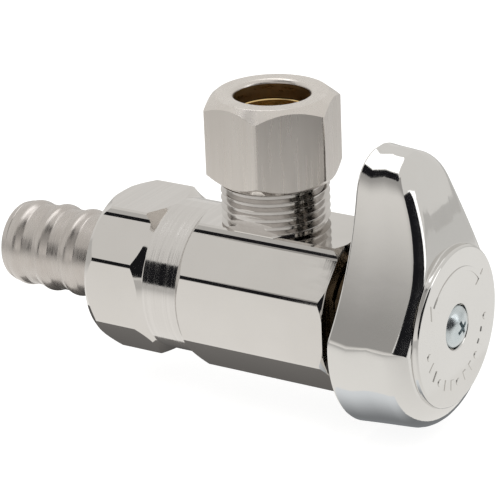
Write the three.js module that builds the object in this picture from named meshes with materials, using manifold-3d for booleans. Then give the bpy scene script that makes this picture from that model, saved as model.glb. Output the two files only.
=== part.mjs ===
// Quarter-turn angle stop valve: barbed inlet for 1/2 in plastic pipe, 3/8 in compression outlet.
//
// Every piece is worked out in the valve's own frame, whose origin is where the inlet axis (Y) and
// the outlet axis (Z) cross. The lever is at the front, -Y, and the supply pipe at the back, +Y.
// The last lines move that frame so that the part's origin is the centre of the pipe stop.

import * as THREE from 'three';
import { mergeVertices } from 'three/addons/utils/BufferGeometryUtils.js';
import Module from 'manifold-3d';

const wasm = await Module();
wasm.setup();

// Driving dimensions, in millimetres.

const GAP = 0.1; // between pieces that touch or run on each other
const ROUND = 28; // sides of a turned surface

const BODY = {
  acrossFlats: 21.16,
  front: -12.64,
  blockBack: 8.5, // where the octagon starts to be turned down to the collar
  collarRadius: 10.15,
  collarStart: 9.7,
  collarEnd: 15,
  inletStart: 16.5, // full octagon of the inlet end
  inletEnd: 22.2,
  pipeStop: 24.1,
  pipeStopRadius: 10.25,
  frontChamfer: 0.5,
  topHeight: 10.11, // milled top, lower than the octagon's own flat
  ribHalfWidth: 5.78,
  ribFootHalfWidth: 6.06,
};

const BARB = { tip: 41.5, bore: 4.45, ribRadius: 6.02, noseRadius: 5.15, neckRadius: 5.6 };
const BARB_RIBS = [39.1, 34.8, 30.5]; // y of each rib's crest
const BARB_RIB_WIDTH = 2.5;

const WATERWAY = { inlet: 3.4, outlet: 3.2, narrowsFrom: 12 };
const CHAMBER = { radius: 6.6, end: 7.1 };

const THREAD = { pitch: 25.4 / 24, major: 7.1, minor: 6.46, clearance: 0.18 };
const STUB = { top: 19.5, flatWidth: 8.6, flatHeight: 4.7, mouthRadius: 5.85, mouthDepth: 1.6 };
const SOCKET = { radius: 4.85, stop: 12.8 }; // where the 3/8 in tube goes
const NUT = {
  acrossFlats: 15.875,
  bottom: 16.2,
  top: 27.6,
  topFace: 7.25, // radius where the end face meets its chamfer
  bottomFace: 7.4,
  chamferSlope: 0.8,
  bore: 4.97,
  mouth: 5.6,
  mouthDepth: 0.53,
  sleeveRoom: 6.1,
  coneGap: 0.35, // above the sleeve's taper
  threadLength: 6.6,
  turn: -73.2,
};
const SLEEVE = { inner: 4.82, outer: 5.85, bottom: 19.4, top: 25, taper: 1.6 };

const BALL = { radius: 5.6, slotWidth: 2.6, slotDepth: 1.9 };
const SEAT = { outer: 6.5, depth: 2.7 };
const OUTLET_SEAT = { inner: 3, outer: 4.1, bottom: 4.1, top: 7.25 };
const STEM = {
  tang: -3.85,
  cornerRadius: 3.36, // over the rounded corners of the drive square
  neckRadius: 3.2,
  flangeRadius: 5.2,
  flangeBack: -7.2,
  flangeFront: -8.2,
  journalRadius: 3.5,
  journalEnd: -15.6,
  drive: 5.6,
  end: -21.6,
  holeRadius: 1.6,
  holeDepth: 8,
};
const O_RING = { width: 1.1, floor: 2.5 };
const STEM_O_RINGS = { stem_o_ring_inner: -10.6, stem_o_ring_outer: -13 }; // y of each ring
const WASHER = { thickness: 0.6, outer: 5.2 };
const BONNET = {
  back: -7.1,
  threadRadius: 7.4,
  front: -14.6,
  noseRadius: 8.3,
  noseBack: -12.75,
  noseFlat: 7.3, // from the axis to each of the two wrench flats
  shoulder: -9,
  stopFront: -17.4,
};
const BONNET_O_RING = { y: -8.1, floor: 5.75 };

const HANDLE = {
  back: -15.4,
  depth: 10.3,
  roundRadius: 14.2,
  ledge: 1.65, // height at which the scooped sides spring from the round part
  ledgeStep: 0.45,
  sidePull: [7.9, 8.8],
  shoulder: [6, 18.2],
  shoulderPull: [5.3, 21.9],
  tip: 22.7,
  tipHalfWidth: 1.2,
  thinFrom: 7, // above this height the lever thins towards its tip
  thinRate: 0.0427,
  thinPower: 1.7,
  fillet: 2.6,
  draft: 0.035, // how much narrower the front is than the back
  wall: 2,
  floor: 2.6,
  hubRadius: 6.2,
  ribThickness: 1.6,
  ribDepth: 7.3,
  looseRibs: [0, -71], // degrees from the tip, besides the two ribs that meet the stop
};
const BOSS = { radius: 10.6, face: -26.4, rim: 0.35, foot: 10.9, depth: 3, recessFloor: -25.4 };
const SCREW = {
  headRadius: 2.85,
  headBack: -25.5,
  head: 1.7,
  rim: 0.4,
  shankRadius: 1.5,
  end: -15,
  crossReach: 1.57,
  crossHalf: 0.35,
  crossFloor: -26.1,
};
const STOP = { angle: 180, halfWidth: 12, inner: 6.6, outer: 8.1 }; // the fixed 90 degree stop

const DEGREE = Math.PI / 180;

// Solids from three.js geometries.

function solid(geometry) {
  const bare = geometry.index ? geometry.toNonIndexed() : geometry.clone();
  bare.deleteAttribute('normal');
  bare.deleteAttribute('uv');
  const merged = mergeVertices(bare, 1e-4);
  const vertices = merged.getAttribute('position').array;
  const corners = merged.index.array;
  const kept = [];
  let volume = 0;
  const [a, b, c] = [new THREE.Vector3(), new THREE.Vector3(), new THREE.Vector3()];
  for (let i = 0; i < corners.length; i += 3) {
    const [p, q, r] = corners.slice(i, i + 3);
    if (p === q || q === r || r === p) continue;
    kept.push(p, q, r);
    a.fromArray(vertices, p * 3);
    b.fromArray(vertices, q * 3);
    c.fromArray(vertices, r * 3);
    volume += a.dot(b.cross(c));
  }
  if (volume < 0) kept.reverse();
  const mesh = new wasm.Mesh({
    numProp: 3,
    vertProperties: Float32Array.from(vertices),
    triVerts: Uint32Array.from(kept),
  });
  return new wasm.Manifold(mesh);
}

function geometryOf(shape) {
  const { vertProperties, triVerts, numProp } = shape.getMesh();
  const positions = new Float32Array((vertProperties.length / numProp) * 3);
  for (let i = 0; i < positions.length / 3; i += 1) {
    for (let k = 0; k < 3; k += 1) positions[i * 3 + k] = vertProperties[i * numProp + k];
  }
  const geometry = new THREE.BufferGeometry();
  geometry.setAttribute('position', new THREE.BufferAttribute(positions, 3));
  geometry.setIndex(Array.from(triVerts));
  geometry.computeVertexNormals();
  return geometry;
}

// A turned solid about Y, or about Z. Its profile is a list of [radius, distance along the axis].
function turned(profile, axis = 'y', sides = ROUND) {
  const points = profile.map(([radius, along]) => new THREE.Vector2(radius, along));
  const geometry = new THREE.LatheGeometry(points, sides);
  if (axis === 'z') geometry.rotateX(Math.PI / 2);
  return solid(geometry);
}

function rod(radius, from, to, axis = 'y', sides = ROUND) {
  return turned([[0, from], [radius, from], [radius, to], [0, to]], axis, sides);
}

function ring(inner, outer, from, to, axis = 'y', sides = ROUND) {
  const profile = [[inner, from], [outer, from], [outer, to], [inner, to], [inner, from]];
  return turned(profile, axis, sides);
}

// A block between two opposite corners.
function block(low, high) {
  const size = high.map((value, i) => value - low[i]);
  const middle = high.map((value, i) => (value + low[i]) / 2);
  return solid(new THREE.BoxGeometry(...size).translate(...middle));
}

// An outline of [x, z] points pushed along Y, or of [x, y] points pushed along Z.
function prism(outline, from, to, axis = 'y') {
  const shape = new THREE.Shape(outline.map(([u, v]) => new THREE.Vector2(u, v)));
  const geometry = new THREE.ExtrudeGeometry(shape, { depth: to - from, bevelEnabled: false });
  if (axis === 'y') geometry.rotateX(Math.PI / 2).translate(0, to, 0);
  else geometry.translate(0, 0, from);
  return solid(geometry);
}

function polygon(sides, acrossFlats, turn) {
  const radius = acrossFlats / 2 / Math.cos(Math.PI / sides);
  return Array.from({ length: sides }, (_, k) => {
    const angle = (turn + (k * 360) / sides) * DEGREE;
    return [radius * Math.sin(angle), -radius * Math.cos(angle)];
  });
}

function unite(first, ...rest) {
  return rest.reduce((sum, piece) => sum.add(piece), first);
}

function cut(first, ...rest) {
  return rest.reduce((left, piece) => left.subtract(piece), first);
}

// A threaded rod: a cylinder whose radius rises and falls with the height above the helix.
// grow widens it into the space that an internal thread leaves.
function threaded(thread, from, to, axis, grow = 0, rowsPerTurn = 4) {
  const rows = Math.ceil(((to - from) / thread.pitch) * rowsPerTurn);
  const geometry = new THREE.CylinderGeometry(1, 1, to - from, ROUND, rows);
  geometry.translate(0, (from + to) / 2, 0);
  const position = geometry.getAttribute('position');
  const rootFlat = grow > 0 ? 0.1 : 0.28;
  const flank = 0.62;
  for (let i = 0; i < position.count; i += 1) {
    const [x, y, z] = [position.getX(i), position.getY(i), position.getZ(i)];
    if (Math.hypot(x, z) < 0.5) continue;
    const angle = Math.atan2(-z, x);
    const turns = y / thread.pitch - angle / (2 * Math.PI);
    const height = 1 - 2 * Math.abs(turns - Math.floor(turns) - 0.5);
    const rise = THREE.MathUtils.clamp((height - rootFlat) / flank, 0, 1);
    const radius = thread.minor + grow + (thread.major - thread.minor) * rise;
    position.setXYZ(i, radius * Math.cos(angle), y, -radius * Math.sin(angle));
  }
  if (axis === 'z') geometry.rotateX(Math.PI / 2);
  return solid(geometry);
}

// The ball's seats are cut by a slightly larger sphere.
function sphere(radius) {
  return solid(new THREE.SphereGeometry(radius, 24, 14));
}

// Valve body.

function bodyOutline() {
  const flat = BODY.acrossFlats / 2;
  const corner = flat * Math.tan(Math.PI / 8);
  const sum = flat + corner;
  const rightTop = [
    [flat, corner],
    [BODY.ribFootHalfWidth, sum - BODY.ribFootHalfWidth],
    [BODY.ribHalfWidth, BODY.topHeight],
  ];
  const leftTop = rightTop.map(([x, z]) => [-x, z]).reverse();
  const bottom = [[-flat, -corner], [-corner, -flat], [corner, -flat], [flat, -corner]];
  return [...rightTop, ...leftTop, ...bottom];
}

// The turned envelope that chamfers both octagons and leaves the round collar between them.
function bodyEnvelope() {
  const corner = BODY.acrossFlats / 2 / Math.cos(Math.PI / 8) + 0.01;
  return turned([
    [0, BODY.front],
    [corner - BODY.frontChamfer, BODY.front],
    [corner, BODY.front + BODY.frontChamfer],
    [corner, BODY.blockBack],
    [BODY.collarRadius, BODY.collarStart],
    [BODY.collarRadius, BODY.collarEnd],
    [corner, BODY.inletStart],
    [corner, BODY.inletEnd],
    [BODY.pipeStopRadius, BODY.pipeStop],
    [0, BODY.pipeStop],
  ], 'y', 48);
}

function barb() {
  const profile = [[0, BODY.pipeStop - 1], [BARB.neckRadius, BODY.pipeStop - 1]];
  for (const crest of [...BARB_RIBS].reverse()) {
    const half = BARB_RIB_WIDTH / 2;
    for (let k = 0; k <= 4; k += 1) {
      const along = crest - half + (k / 4) * BARB_RIB_WIDTH;
      const rise = Math.sin((k / 4) * Math.PI);
      profile.push([BARB.neckRadius + rise * (BARB.ribRadius - BARB.neckRadius), along]);
    }
  }
  profile.push([BARB.neckRadius, BARB.tip - 0.8], [BARB.noseRadius, BARB.tip], [0, BARB.tip]);
  return turned(profile);
}

// The threaded outlet stub, flattened at its foot on the two sides that face along X.
function outletStub() {
  const rooted = 2;
  const screwed = threaded(THREAD, BODY.topHeight - rooted, STUB.top, 'z');
  const envelope = turned([
    [0, BODY.topHeight - rooted - 1],
    [THREAD.major + 1, BODY.topHeight - rooted - 1],
    [THREAD.major + 1, STUB.top - 1],
    [THREAD.minor, STUB.top],
    [0, STUB.top],
  ], 'z');
  const foot = BODY.ribHalfWidth;
  const top = BODY.topHeight + STUB.flatHeight;
  const side = [
    [foot, BODY.topHeight - rooted - 1],
    [foot, BODY.topHeight],
    [THREAD.major, top],
    [THREAD.major + 1, top],
    [THREAD.major + 1, BODY.topHeight - rooted - 1],
  ];
  const right = prism(side, -STUB.flatWidth, STUB.flatWidth);
  const left = prism(side.map(([x, z]) => [-x, z]).reverse(), -STUB.flatWidth, STUB.flatWidth);
  return cut(screwed.intersect(envelope), right, left);
}

function valveBody() {
  const octagon = prism(bodyOutline(), BODY.front - 1, BODY.pipeStop + 1);
  const outside = unite(octagon.intersect(bodyEnvelope()), barb(), outletStub());
  const inletWay = turned([
    [0, 0],
    [WATERWAY.inlet, 0],
    [WATERWAY.inlet, WATERWAY.narrowsFrom],
    [BARB.bore, WATERWAY.narrowsFrom + 1],
    [BARB.bore, BARB.tip + 1],
    [0, BARB.tip + 1],
  ]);
  const outletWay = turned([
    [0, 0],
    [WATERWAY.outlet, 0],
    [WATERWAY.outlet, SOCKET.stop],
    [SOCKET.radius, SOCKET.stop],
    [SOCKET.radius, STUB.top - STUB.mouthDepth],
    [STUB.mouthRadius, STUB.top],
    [STUB.mouthRadius, STUB.top + 1],
    [0, STUB.top + 1],
  ], 'z');
  const chamber = rod(CHAMBER.radius, BODY.front - 1, CHAMBER.end);
  const glandBore = rod(BONNET.threadRadius + GAP, BODY.front - 1, BONNET.back - 2);
  const seatPocket = rod(OUTLET_SEAT.outer + GAP, 0, OUTLET_SEAT.top + GAP, 'z');
  return cut(outside, inletWay, outletWay, chamber, glandBore, seatPocket);
}

// Seats, ball and stem.

function inletSeat() {
  const blank = ring(WATERWAY.inlet, SEAT.outer, CHAMBER.end - GAP - SEAT.depth, CHAMBER.end - GAP);
  return blank.subtract(sphere(BALL.radius + GAP));
}

function frontSeat() {
  const front = BONNET.back + GAP;
  const blank = ring(STEM.neckRadius + GAP, SEAT.outer, front, front + SEAT.depth);
  return blank.subtract(sphere(BALL.radius + GAP));
}

function outletSeat() {
  const { inner, outer, bottom, top } = OUTLET_SEAT;
  return ring(inner, outer, bottom, top, 'z').subtract(sphere(BALL.radius + GAP));
}

function ball() {
  const inletPort = rod(WATERWAY.inlet, 0, BALL.radius + 1);
  const outletPort = rod(OUTLET_SEAT.inner, 0, BALL.radius + 1, 'z');
  const half = BALL.slotWidth / 2;
  const slotFloor = -BALL.radius + BALL.slotDepth;
  const slot = block([-BALL.radius, -BALL.radius - 1, -half], [BALL.radius, slotFloor, half]);
  return cut(sphere(BALL.radius), inletPort, outletPort, slot);
}

function stem() {
  const profile = [
    [0, STEM.end],
    [STEM.cornerRadius, STEM.end],
    [STEM.cornerRadius, STEM.journalEnd],
    [STEM.journalRadius, STEM.journalEnd],
  ];
  for (const y of Object.values(STEM_O_RINGS).reverse()) {
    const half = O_RING.width / 2 + GAP;
    profile.push([STEM.journalRadius, y - half], [O_RING.floor, y - half]);
    profile.push([O_RING.floor, y + half], [STEM.journalRadius, y + half]);
  }
  profile.push(
    [STEM.journalRadius, STEM.flangeFront],
    [STEM.flangeRadius, STEM.flangeFront],
    [STEM.flangeRadius, STEM.flangeBack],
    [STEM.neckRadius, STEM.flangeBack],
    [STEM.neckRadius, STEM.tang],
    [0, STEM.tang],
  );
  const half = BALL.slotWidth / 2 - GAP;
  const reach = STEM.neckRadius + 1;
  const tangStart = -BALL.radius - GAP;
  const aboveTang = block([-reach, tangStart, half], [reach, STEM.tang + 1, reach]);
  const belowTang = block([-reach, tangStart, -reach], [reach, STEM.tang + 1, -half]);
  const square = prism(polygon(4, STEM.drive, 45), STEM.end - 1, STEM.journalEnd);
  const shank = block([-9, STEM.journalEnd, -9], [9, 0, 9]);
  const hole = rod(STEM.holeRadius, STEM.end - 1, STEM.end + STEM.holeDepth, 'y', 20);
  return cut(turned(profile).intersect(square.add(shank)), aboveTang, belowTang, hole);
}

function thrustWasher() {
  const back = STEM.flangeFront - GAP;
  return ring(STEM.journalRadius + GAP, WASHER.outer, back - WASHER.thickness, back);
}

// An O-ring of a slightly squeezed round section.
function oRing(inner, outer, y, width) {
  const middle = (inner + outer) / 2;
  const profile = Array.from({ length: 9 }, (_, k) => {
    const angle = (k % 8) * 45 * DEGREE;
    return [middle + ((outer - inner) / 2) * Math.cos(angle), y + (width / 2) * Math.sin(angle)];
  });
  return turned(profile, 'y', 20);
}

function bonnetORing() {
  const inner = BONNET_O_RING.floor + GAP / 2;
  return oRing(inner, CHAMBER.radius - GAP / 2, BONNET_O_RING.y, O_RING.width);
}

// Bonnet: the threaded gland that holds the stem in, with the fixed quarter-turn stop on its nose.

function sector(inner, outer, from, to, middle, halfAngle) {
  const steps = 6;
  const arc = (radius, k) => {
    const angle = (middle - halfAngle + (2 * halfAngle * k) / steps) * DEGREE;
    return [radius * Math.sin(angle), radius * Math.cos(angle)];
  };
  const outside = Array.from({ length: steps + 1 }, (_, k) => arc(outer, k));
  const inside = Array.from({ length: steps + 1 }, (_, k) => arc(inner, steps - k));
  return prism([...outside, ...inside].reverse(), from, to);
}

function bonnet() {
  const half = O_RING.width / 2 + GAP;
  const outside = turned([
    [0, BONNET.front],
    [BONNET.noseRadius - 0.5, BONNET.front],
    [BONNET.noseRadius, BONNET.front + 0.5],
    [BONNET.noseRadius, BONNET.noseBack],
    [BONNET.threadRadius, BONNET.noseBack],
    [BONNET.threadRadius, BONNET.back - 2 - GAP],
    [CHAMBER.radius - GAP, BONNET.back - 2 - GAP],
    [CHAMBER.radius - GAP, BONNET_O_RING.y - half],
    [BONNET_O_RING.floor, BONNET_O_RING.y - half],
    [BONNET_O_RING.floor, BONNET_O_RING.y + half],
    [CHAMBER.radius - GAP, BONNET_O_RING.y + half],
    [CHAMBER.radius - GAP, BONNET.back],
    [0, BONNET.back],
  ]);
  const pocket = rod(STEM.flangeRadius + GAP, BONNET.shoulder, BONNET.back + 1);
  const bore = rod(STEM.journalRadius + GAP, BONNET.front - 1, BONNET.back + 1);
  const { noseFlat, noseRadius, noseBack, front } = BONNET;
  const out = noseRadius + 1;
  const rightFlat = block([noseFlat, front - 1, -out], [out, noseBack, out]);
  const leftFlat = block([-out, front - 1, -out], [-noseFlat, noseBack, out]);
  const { inner, outer, angle, halfWidth } = STOP;
  const stop = sector(inner, outer, BONNET.stopFront, BONNET.front + 0.4, angle, halfWidth);
  return cut(outside, pocket, bore, rightFlat, leftFlat).add(stop);
}

// Handle: a drop-shaped lever, hollow at the back, with a flat round boss on its front.

// The drop's outline in X and Z, moved inwards by inset.
function handleOutline(inset) {
  const radius = HANDLE.roundRadius - inset;
  const tip = HANDLE.tip - inset;
  const flat = Math.max(HANDLE.tipHalfWidth - inset / 2, HANDLE.tipHalfWidth / 2);
  const drop = inset / 2;
  const [pullX, pullZ] = [HANDLE.sidePull[0] - inset, HANDLE.sidePull[1] - drop];
  const [shoulderX, shoulderZ] = [HANDLE.shoulder[0] - inset, HANDLE.shoulder[1] - drop];
  const [turnX, turnZ] = [HANDLE.shoulderPull[0] - inset, HANDLE.shoulderPull[1] - inset];
  const [ledgeX, ledgeZ] = [radius - HANDLE.ledgeStep, HANDLE.ledge - drop];
  const outline = new THREE.Shape();
  outline.moveTo(radius, 0);
  outline.lineTo(ledgeX, ledgeZ);
  outline.quadraticCurveTo(pullX, pullZ, shoulderX, shoulderZ);
  outline.quadraticCurveTo(turnX, turnZ, flat, tip);
  outline.lineTo(-flat, tip);
  outline.quadraticCurveTo(-turnX, turnZ, -shoulderX, shoulderZ);
  outline.quadraticCurveTo(-pullX, pullZ, -ledgeX, ledgeZ);
  outline.lineTo(-radius, 0);
  outline.absarc(0, 0, radius, Math.PI, 2 * Math.PI, false);
  return outline;
}

// How far the handle's front stands from its back at a height: full at the boss, thin at the tip.
function handleDepth(height) {
  const { depth, thinFrom, thinRate, thinPower } = HANDLE;
  return depth - thinRate * Math.max(height - thinFrom, 0) ** thinPower;
}

// The blank is pushed forward from the back plane in layers. The last layers draw in to round the
// front edge, and the whole is thinned towards its tip.
function leverBlank(inset, depthLoss, fillet) {
  const layers = fillet > 0 ? 6 : 1;
  const fullDepth = HANDLE.depth - depthLoss;
  const geometry = new THREE.ExtrudeGeometry(handleOutline(inset), {
    depth: layers,
    steps: layers,
    curveSegments: 8,
    bevelEnabled: false,
  });
  geometry.rotateX(Math.PI / 2);
  const position = geometry.getAttribute('position');
  for (let i = 0; i < position.count; i += 1) {
    const [x, y, z] = [position.getX(i), position.getY(i), position.getZ(i)];
    const layer = Math.round(-y);
    const turn = (Math.max(layer - 1, 0) / Math.max(layers - 1, 1)) * (Math.PI / 2);
    const straight = layer > 0 ? fullDepth - fillet : 0;
    const forward = straight + fillet * Math.sin(turn);
    const draft = (HANDLE.draft * forward) / fullDepth;
    const drawn = (fillet * (1 - Math.cos(turn))) / HANDLE.roundRadius;
    const narrow = 1 - draft - drawn;
    const tall = z < 0 ? narrow : 1 - draft - drawn / 3;
    const thin = (handleDepth(z) - depthLoss) / fullDepth;
    position.setXYZ(i, x * narrow, HANDLE.back - forward * thin, z * tall);
  }
  return solid(geometry);
}

function handle() {
  const boss = turned([
    [0, BOSS.face],
    [BOSS.radius - BOSS.rim, BOSS.face],
    [BOSS.radius, BOSS.face + BOSS.rim],
    [BOSS.foot, BOSS.face + BOSS.depth],
    [0, BOSS.face + BOSS.depth],
  ], 'y', 48);
  const hollow = leverBlank(HANDLE.wall, HANDLE.floor, 0);
  const hubFront = HANDLE.back - HANDLE.depth + HANDLE.wall;
  const hub = rod(HANDLE.hubRadius, hubFront, STEM.journalEnd - GAP);
  const ribClearance = 1;
  const ribHalf = Math.asin(HANDLE.ribThickness / 2 / STOP.inner) / DEGREE;
  const lead = STOP.halfWidth + ribHalf + ribClearance;
  const ribAngles = [STOP.angle + lead, STOP.angle - lead - 90, ...HANDLE.looseRibs];
  const ribInset = HANDLE.wall / 2;
  const ribs = ribAngles.map((angle) => {
    const plate = new THREE.BoxGeometry(HANDLE.ribThickness, HANDLE.ribDepth, HANDLE.tip + 1);
    plate.translate(0, HANDLE.back - 1 - HANDLE.ribDepth / 2, (HANDLE.tip + 1) / 2);
    plate.rotateY(angle * DEGREE);
    return solid(plate).intersect(leverBlank(ribInset, ribInset, 0));
  });
  const half = STEM.drive / 2 + GAP;
  const socketFloor = STEM.end - 2 * GAP;
  const socket = block([-half, socketFloor, -half], [half, HANDLE.back + 1, half]);
  const screwHole = rod(SCREW.shankRadius + 2 * GAP, BOSS.face - 1, socketFloor + 1, 'y', 20);
  const recess = rod(SCREW.headRadius + 2 * GAP, BOSS.face - 1, BOSS.recessFloor, 'y', 24);
  const shell = leverBlank(0, 0, HANDLE.fillet).add(boss).subtract(hollow);
  return cut(unite(shell, hub, ...ribs), socket, screwHole, recess);
}

function handleScrew() {
  const { headRadius, headBack, head, rim, shankRadius, end } = SCREW;
  const crown = [70, 45, 20, 0].map((degrees) => [
    headRadius * Math.cos(degrees * DEGREE),
    headBack - rim - (head - rim) * Math.sin(degrees * DEGREE),
  ]);
  const dome = turned([
    [0, headBack - head],
    ...crown,
    [headRadius, headBack],
    [shankRadius, headBack],
    [shankRadius, end],
    [0, end],
  ], 'y', 24);
  const { crossReach, crossHalf, crossFloor } = SCREW;
  const above = headBack - head - 1;
  const across = block([-crossReach, above, -crossHalf], [crossReach, crossFloor, crossHalf]);
  const upright = block([-crossHalf, above, -crossReach], [crossHalf, crossFloor, crossReach]);
  return cut(dome, across, upright);
}

// Compression nut and sleeve.

function compressionNut() {
  const corner = NUT.acrossFlats / 2 / Math.cos(Math.PI / 6) + 0.01;
  const envelope = turned([
    [0, NUT.bottom],
    [NUT.bottomFace, NUT.bottom],
    [corner, NUT.bottom + (corner - NUT.bottomFace) * NUT.chamferSlope],
    [corner, NUT.top - (corner - NUT.topFace) * NUT.chamferSlope],
    [NUT.topFace, NUT.top],
    [0, NUT.top],
  ], 'z', 48);
  const hexagon = prism(polygon(6, NUT.acrossFlats, NUT.turn), NUT.bottom - 1, NUT.top + 1, 'z');
  const tapped = threaded(THREAD, NUT.bottom - 1, NUT.bottom + NUT.threadLength, 'z', THREAD.clearance);
  const lead = turned([
    [0, NUT.bottom - 1],
    [THREAD.major + 1, NUT.bottom - 1],
    [THREAD.minor, NUT.bottom + 1],
    [0, NUT.bottom + 1],
  ], 'z');
  const inside = turned([
    [0, NUT.bottom + 5],
    [NUT.sleeveRoom, NUT.bottom + 5],
    [NUT.sleeveRoom, SLEEVE.top - SLEEVE.taper + NUT.coneGap],
    [NUT.bore, SLEEVE.top + NUT.coneGap],
    [NUT.bore, NUT.top - NUT.mouthDepth],
    [NUT.mouth, NUT.top],
    [NUT.mouth, NUT.top + 1],
    [0, NUT.top + 1],
  ], 'z');
  return cut(hexagon.intersect(envelope), tapped, lead, inside);
}

function compressionSleeve() {
  const { inner, outer, bottom, top, taper } = SLEEVE;
  const end = outer - taper / 2;
  return turned([
    [inner, bottom],
    [end, bottom],
    [outer, bottom + taper],
    [outer, top - taper],
    [end, top],
    [inner, top],
    [inner, bottom],
  ], 'z');
}

// Assembly.

const finishes = {
  chrome: { color: 0xc9c6c1, roughness: 0.12, metalness: 1 },
  satinChrome: { color: 0xb9b3aa, roughness: 0.35, metalness: 1 },
  brass: { color: 0xc9a55a, roughness: 0.3, metalness: 1 },
  zinc: { color: 0xa9b4b8, roughness: 0.35, metalness: 1 },
  seat: { color: 0xf0f0ea, roughness: 0.5, metalness: 0 },
  rubber: { color: 0x17181a, roughness: 0.7, metalness: 0 },
};

const valve = new THREE.Group();

function addPiece(name, shape, finish) {
  const mesh = new THREE.Mesh(geometryOf(shape), new THREE.MeshStandardMaterial(finishes[finish]));
  mesh.name = name;
  valve.add(mesh);
}

addPiece('valve_body', valveBody(), 'chrome');
addPiece('inlet_seat', inletSeat(), 'seat');
addPiece('outlet_seat', outletSeat(), 'seat');
addPiece('front_seat', frontSeat(), 'seat');
addPiece('ball', ball(), 'chrome');
addPiece('stem', stem(), 'brass');
addPiece('thrust_washer', thrustWasher(), 'seat');
for (const [name, y] of Object.entries(STEM_O_RINGS)) {
  const inner = O_RING.floor + GAP / 2;
  const outer = STEM.journalRadius + GAP / 2;
  addPiece(name, oRing(inner, outer, y, O_RING.width), 'rubber');
}
addPiece('bonnet', bonnet(), 'brass');
addPiece('bonnet_o_ring', bonnetORing(), 'rubber');
addPiece('handle', handle(), 'chrome');
addPiece('handle_screw', handleScrew(), 'zinc');
addPiece('compression_nut', compressionNut(), 'satinChrome');
addPiece('compression_sleeve', compressionSleeve(), 'brass');

valve.position.y = -BODY.pipeStop;

export default valve;
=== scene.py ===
import math

import bpy
from mathutils import Matrix, Vector


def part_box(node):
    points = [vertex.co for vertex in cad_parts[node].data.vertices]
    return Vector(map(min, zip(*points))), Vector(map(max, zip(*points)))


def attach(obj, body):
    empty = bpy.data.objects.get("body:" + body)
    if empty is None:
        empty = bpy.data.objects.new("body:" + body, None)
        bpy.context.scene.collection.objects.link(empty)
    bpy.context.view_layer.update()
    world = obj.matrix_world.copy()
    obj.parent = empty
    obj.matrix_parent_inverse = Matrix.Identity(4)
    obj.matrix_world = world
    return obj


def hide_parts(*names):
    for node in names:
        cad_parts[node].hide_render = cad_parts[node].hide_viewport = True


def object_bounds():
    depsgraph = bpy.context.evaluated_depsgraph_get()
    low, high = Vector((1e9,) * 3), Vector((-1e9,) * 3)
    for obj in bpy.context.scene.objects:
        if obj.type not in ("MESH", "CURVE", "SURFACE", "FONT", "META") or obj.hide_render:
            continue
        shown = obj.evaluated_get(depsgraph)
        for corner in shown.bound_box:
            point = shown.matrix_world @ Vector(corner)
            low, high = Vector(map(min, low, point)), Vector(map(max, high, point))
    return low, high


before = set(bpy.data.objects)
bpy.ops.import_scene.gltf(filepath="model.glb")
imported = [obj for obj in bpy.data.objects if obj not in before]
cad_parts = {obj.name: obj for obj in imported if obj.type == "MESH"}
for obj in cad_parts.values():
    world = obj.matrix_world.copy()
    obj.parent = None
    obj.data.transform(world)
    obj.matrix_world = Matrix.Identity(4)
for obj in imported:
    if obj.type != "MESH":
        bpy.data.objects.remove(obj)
cad_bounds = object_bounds()

# Everything is worked out in millimetres in the valve's own frame, whose origin is where the inlet
# axis (Y) and the outlet axis (Z) cross. finish_piece() moves a piece to its place, in metres.

MM = 0.001
CROSSING = (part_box("compression_sleeve")[0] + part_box("compression_sleeve")[1]) / 2
CROSSING.z = 0


def node_box(name):
    low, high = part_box(name)
    return (low - CROSSING) / MM, (high - CROSSING) / MM


BODY_LOW, BODY_HIGH = node_box("valve_body")
NUT_LOW, NUT_HIGH = node_box("compression_nut")
SLEEVE_LOW, SLEEVE_HIGH = node_box("compression_sleeve")
LEVER_LOW, LEVER_HIGH = node_box("handle")
SCREW_LOW, SCREW_HIGH = node_box("handle_screw")
BONNET_LOW = node_box("bonnet")[0]

PIPE_STOP = -CROSSING.y / MM
FLAT = BODY_HIGH.x
BODY_FRONT = BODY_LOW.y
BARB_TIP = BODY_HIGH.y
STUB_TOP = BODY_HIGH.z

COLLAR_RADIUS = 10.15
TOP_FACE = 10.11
THREAD_PITCH = 25.4 / 24
THREAD_CREST = 7.1
THREAD_ROOT = 6.46
SOCKET_RADIUS = 4.85
SOCKET_STOP = 12.8

RIB_FOOT, RIB_CROWN = 5.94, 5.8  # half-widths of the low rib along the milled top
STUB_FOOT, STUB_FLAT = 5.78, 4.7  # where the stub's flats start, and their height
EDGE_ROUND, TOP_EDGE_ROUND = 0.38, 0.07

NUT_TOP_FACE, NUT_BOTTOM_FACE = 7.35, 7.55
NUT_CHAMFER = 0.82
NUT_BORE, NUT_MOUTH, MOUTH_DEPTH = 4.97, 5.6, 0.53

ROUND = 128


# Modelling steps.

def deselect():
    if bpy.context.mode != "OBJECT":
        bpy.ops.object.mode_set(mode="OBJECT")
    bpy.ops.object.select_all(action="DESELECT")


def hold(piece):
    """Makes one piece the only selected one and the active one."""
    deselect()
    piece.select_set(True)
    bpy.context.view_layer.objects.active = piece
    return piece


def edit(piece, select="SELECT", mode="VERT"):
    hold(piece)
    bpy.ops.object.mode_set(mode="EDIT")
    bpy.ops.mesh.select_mode(type=mode)
    bpy.ops.mesh.select_all(action=select)


def leave():
    bpy.ops.object.mode_set(mode="OBJECT")


def apply_modifier(piece, kind, **settings):
    hold(piece)
    modifier = piece.modifiers.new(kind.lower(), kind)
    for key, value in settings.items():
        setattr(modifier, key, value)
    bpy.ops.object.modifier_apply(modifier=modifier.name)


def tidy_faces(piece):
    """Merges doubles and turns every face outwards."""
    edit(piece)
    bpy.ops.mesh.remove_doubles(threshold=0.0005)
    bpy.ops.mesh.normals_make_consistent(inside=False)
    leave()


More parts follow.
